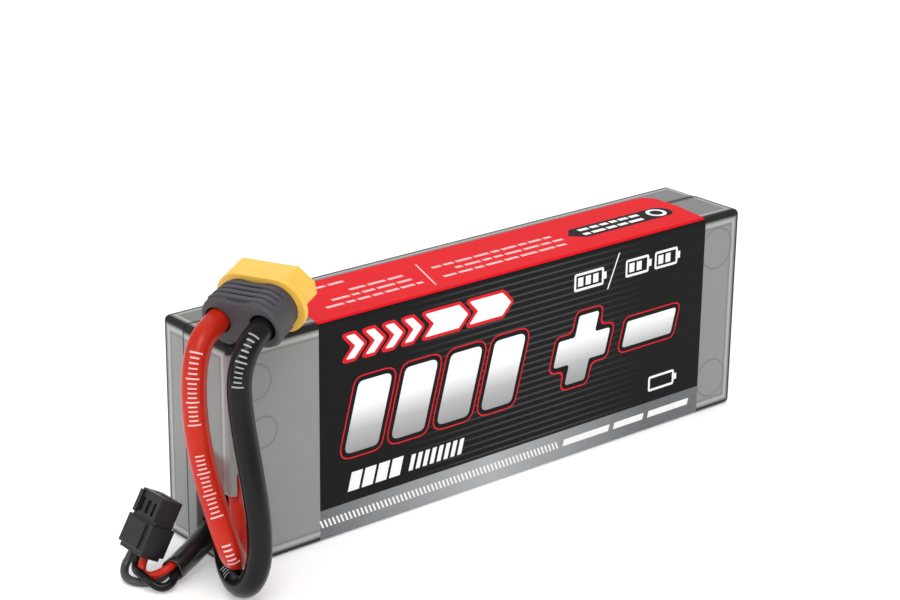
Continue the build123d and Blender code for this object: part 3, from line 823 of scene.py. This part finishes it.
def cord_curve(name, route, diameter, material):
    """A smooth cord whose control points are the route's."""
    data = bpy.data.curves.new(name, "CURVE")
    data.dimensions = "3D"
    data.resolution_u, data.bevel_resolution = 14, 7
    data.bevel_depth = diameter / 2
    data.use_fill_caps = True
    spline = data.splines.new("NURBS")
    spline.points.add(len(route) - 1)
    for point, place in zip(spline.points, route):
        point.co = (*place, 1.0)
    spline.order_u = 3
    spline.use_endpoint_u = True
    data.materials.append(material)
    cord = bpy.data.objects.new(name, data)
    bpy.context.scene.collection.objects.link(cord)
    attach(cord, ROOT)
    return cord


def line_of(cord):
    """The cord's own line as points with their distances from the start."""
    plain = cord.copy()
    plain.data = cord.data.copy()
    plain.data.bevel_depth = 0.0
    bpy.context.scene.collection.objects.link(plain)
    bpy.context.view_layer.update()
    mesh = bpy.data.meshes.new_from_object(plain.evaluated_get(bpy.context.evaluated_depsgraph_get()))
    points = [vertex.co.copy() for vertex in mesh.vertices]
    bpy.data.objects.remove(plain)
    run = [0.0]
    for before, after in zip(points, points[1:]):
        run.append(run[-1] + (after - before).length)
    return points, run


def frame_at(points, run, distance, facing):
    """The place and the two sides of a line at a distance; the first side faces a given way."""
    index = max(i for i in range(len(run) - 1) if run[i] <= distance)
    share = (distance - run[index]) / (run[index + 1] - run[index])
    place = points[index].lerp(points[index + 1], share)
    ahead, behind = points[min(index + 2, len(points) - 1)], points[max(index - 1, 0)]
    along = (ahead - behind).normalized()
    side = (facing - along * facing.dot(along)).normalized()
    return place, side, along.cross(side)


def boundary(rows):
    """The outer loop of a grid of vertices."""
    loop = list(rows[0]) + [row[-1] for row in rows[1:]]
    loop += list(reversed(rows[-1]))[1:] + [row[0] for row in reversed(rows[1:-1])]
    return loop


def wrapped_grid(work, line, radius, start, half_turn):
    """Vertices of one tick mark on a lead: rows along it, each from side to side."""
    points, run = line
    rows = []
    for i in range(TICK_ROWS + 1):
        distance = start + TICK_WIDTH * i / TICK_ROWS
        place, side, other = frame_at(points, run, distance, PRINTED_SIDE)
        row = []
        for j in range(TICK_COLUMNS + 1):
            angle = half_turn * (2 * j / TICK_COLUMNS - 1)
            offset = side * math.cos(angle) + other * math.sin(angle)
            row.append(work.verts.new(place + offset * radius))
        rows.append(row)
    return rows


def add_tick(work, line, start, half_turn):
    """A thin closed printed mark that follows a lead's surface."""
    layers = [wrapped_grid(work, line, LEAD_DIAMETER / 2 + lift, start, half_turn)
              for lift in (-TICK_LIFT, TICK_LIFT)]
    for rows in layers:
        for before, after in zip(rows, rows[1:]):
            for j in range(TICK_COLUMNS):
                work.faces.new((before[j], before[j + 1], after[j + 1], after[j]))
    low, high = (boundary(rows) for rows in layers)
    for index in range(len(low)):
        after = (index + 1) % len(low)
        work.faces.new((low[index], low[after], high[after], high[index]))


def lead_print(name, cord, groups, half_turn, material):
    """Plain ticks printed on a lead in place of its text, every fifth one wider."""
    line = line_of(cord)

    def build(work):
        for start, end in groups:
            for index in range(int((end - start) / TICK_PITCH)):
                reach = half_turn if index % 5 else 1.5 * half_turn
                add_tick(work, line, start + index * TICK_PITCH, reach)
    return add_piece(name, mesh_from(name, build), material)


def make_sleeve(materials):
    """Heat-shrink sleeve over the three balance wires: a thin wall, drawn in at its ends and wrinkled."""
    guide = cord_curve("sleeve_guide", SLEEVE_ROUTE, SLEEVE_DIAMETER, materials["heat_shrink"])
    points, run = line_of(guide)
    bpy.data.objects.remove(guide)
    rings, around, length = 72, 40, run[-1]
    wall, just_inside = 0.35 * MM, 1e-7
    pinch, pinch_rate = 0.05, 30

    def radius_at(share, angle):
        ends = 1.0 - pinch * (math.exp(-share * pinch_rate) + math.exp(-(1 - share) * pinch_rate))
        lobes = 0.05 * math.cos(3 * angle + 1.4 * share)
        folds = 0.014 * math.sin(9 * share + 4 * angle) + 0.010 * math.sin(21 * share - 3 * angle)
        return SLEEVE_DIAMETER / 2 * min(1.02, ends * (0.95 + lobes + folds))

    def build(work):
        loops = []
        order = [(i / rings, 0.0) for i in range(rings + 1)]
        order += [(i / rings, wall) for i in range(rings, -1, -1)]
        for share, inset in order:
            distance = min(length * share, length - just_inside)
            place, side, other = frame_at(points, run, distance, Vector((0, 0, 1)))
            loop = []
            for j in range(around):
                angle = math.tau * j / around
                offset = side * math.cos(angle) + other * math.sin(angle)
                loop.append(work.verts.new(place + offset * (radius_at(share, angle) - inset)))
            loops.append(loop)
        for before, after in zip(loops, loops[1:] + loops[:1]):
            for j in range(around):
                k = (j + 1) % around
                work.faces.new((before[j], before[k], after[k], after[j]))
    name = "heat_shrink_sleeve"
    sleeve = add_piece(name, mesh_from(name, build), materials["heat_shrink"], smooth=True)
    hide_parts("balance_sleeve")
    return sleeve


def make_cords(materials):
    """The two power leads with their print, and the balance wires in their sleeve."""
    red = cord_curve("red_lead", POSITIVE_ROUTE, LEAD_DIAMETER, materials["red_silicone"])
    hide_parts("positive_lead")
    red_marks = lead_print("red_lead_print", red, RED_TICKS, RED_TICK_TURN, materials["pale_ink"])

    black = cord_curve("black_lead", NEGATIVE_ROUTE, LEAD_DIAMETER, materials["black_silicone"])
    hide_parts("negative_lead")
    black_marks = lead_print("black_lead_print", black, BLACK_TICKS, BLACK_TICK_TURN,
                             materials["faint_ink"])

    sleeve = make_sleeve(materials)
    wires = (
        ("red_balance_wire", "balance_wire_red", RED_WIRE_ROUTE, 0.0400, "red_silicone",
         [sleeve, "balance_housing", "balance_clip", "balance_terminals"]),
        ("black_balance_wire", "balance_wire_black", BLACK_WIRE_ROUTE, 0.0518, "black_silicone",
         ["balance_housing"]),
        ("grey_balance_wire", "balance_wire_grey", GREY_WIRE_ROUTE, 0.0516, "grey_silicone",
         ["balance_housing"]),
    )
    for name, node, route, length, finish, on_it in wires:
        wire = cord_curve(name, route, WIRE_DIAMETER, materials[finish])
        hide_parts(node)


make_camera()
materials = make_materials()
make_cords(materials)
make_studio()
make_floor()
finish_cad_nodes(materials)
add_front_print(materials)
add_top_print(materials)
